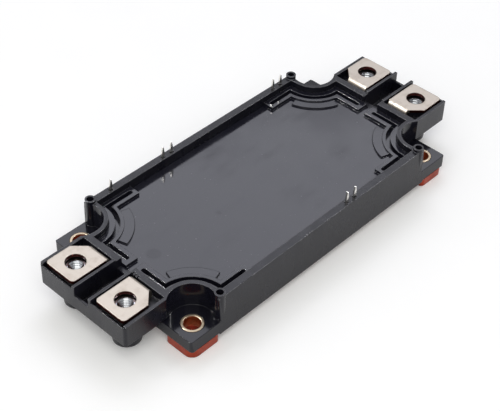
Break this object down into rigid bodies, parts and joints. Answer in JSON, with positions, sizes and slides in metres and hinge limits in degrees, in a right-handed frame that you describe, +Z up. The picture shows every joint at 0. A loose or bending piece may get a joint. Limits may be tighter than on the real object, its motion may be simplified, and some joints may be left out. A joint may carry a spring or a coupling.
{
  "type": "power semiconductor module",
  "caption": "Flat transistor power module: moulded housing on a copper base plate, recessed lid, screw terminals at both ends and upright control pins.",
  "frame": {"origin": "centre of the underside of the base plate", "axes": "+X along the length of the module, from the end with the deep nut bosses to the other end; +Y across the width, towards the side with five control pins; +Z up, out of the lid"},
  "size_m": [0.152, 0.062, 0.0205],
  "materials": {
    "housing_plastic": "matte black glass-filled moulding",
    "lid_plastic": "black moulding with a soft sheen",
    "base_copper": "bare copper, slightly oxidised",
    "sleeve_brass": "turned brass",
    "terminal_nickel": "nickel-plated copper sheet",
    "nut_steel": "zinc-plated steel",
    "pin_tin": "tin-plated copper alloy",
    "substrate_ceramic": "white alumina",
    "foil_copper": "bonded copper foil",
    "chip_silicon": "metallised silicon",
    "wire_aluminium": "drawn aluminium wire",
    "sensor_ceramic": "dark sintered ceramic",
    "gel_silicone": "clear soft silicone gel"
  },
  "bodies": {
    "root": {"base_plate": "base_copper", "bond_wires_1": "wire_aluminium", "bond_wires_2": "wire_aluminium", "bond_wires_3": "wire_aluminium", "control_wires": "wire_aluminium", "copper_tracks_1": "foil_copper", "copper_tracks_2": "foil_copper", "copper_tracks_3": "foil_copper", "diode_chips_1": "chip_silicon", "diode_chips_2": "chip_silicon", "diode_chips_3": "chip_silicon", "housing": "housing_plastic", "lid": "lid_plastic", "mounting_sleeve_front_left": "sleeve_brass", "mounting_sleeve_front_right": "sleeve_brass", "mounting_sleeve_rear_left": "sleeve_brass", "mounting_sleeve_rear_right": "sleeve_brass", "pin_collector_sense": "pin_tin", "pin_emitter_high": "pin_tin", "pin_emitter_low": "pin_tin", "pin_gate_high": "pin_tin", "pin_gate_low": "pin_tin", "pin_thermistor_1": "pin_tin", "pin_thermistor_2": "pin_tin", "silicone_gel": "gel_silicone", "substrate_1": "substrate_ceramic", "substrate_2": "substrate_ceramic", "substrate_3": "substrate_ceramic", "substrate_foil_1": "foil_copper", "substrate_foil_2": "foil_copper", "substrate_foil_3": "foil_copper", "terminal_ac_1": "terminal_nickel", "terminal_ac_2": "terminal_nickel", "terminal_dc_minus": "terminal_nickel", "terminal_dc_plus": "terminal_nickel", "terminal_nut_ac_1": "nut_steel", "terminal_nut_ac_2": "nut_steel", "terminal_nut_dc_minus": "nut_steel", "terminal_nut_dc_plus": "nut_steel", "terminal_wires_ac_1": "wire_aluminium", "terminal_wires_ac_2": "wire_aluminium", "terminal_wires_dc_minus": "wire_aluminium", "terminal_wires_dc_plus": "wire_aluminium", "thermistor": "sensor_ceramic", "transistor_chips_1": "chip_silicon", "transistor_chips_2": "chip_silicon", "transistor_chips_3": "chip_silicon"}
  },
  "joints": []
}
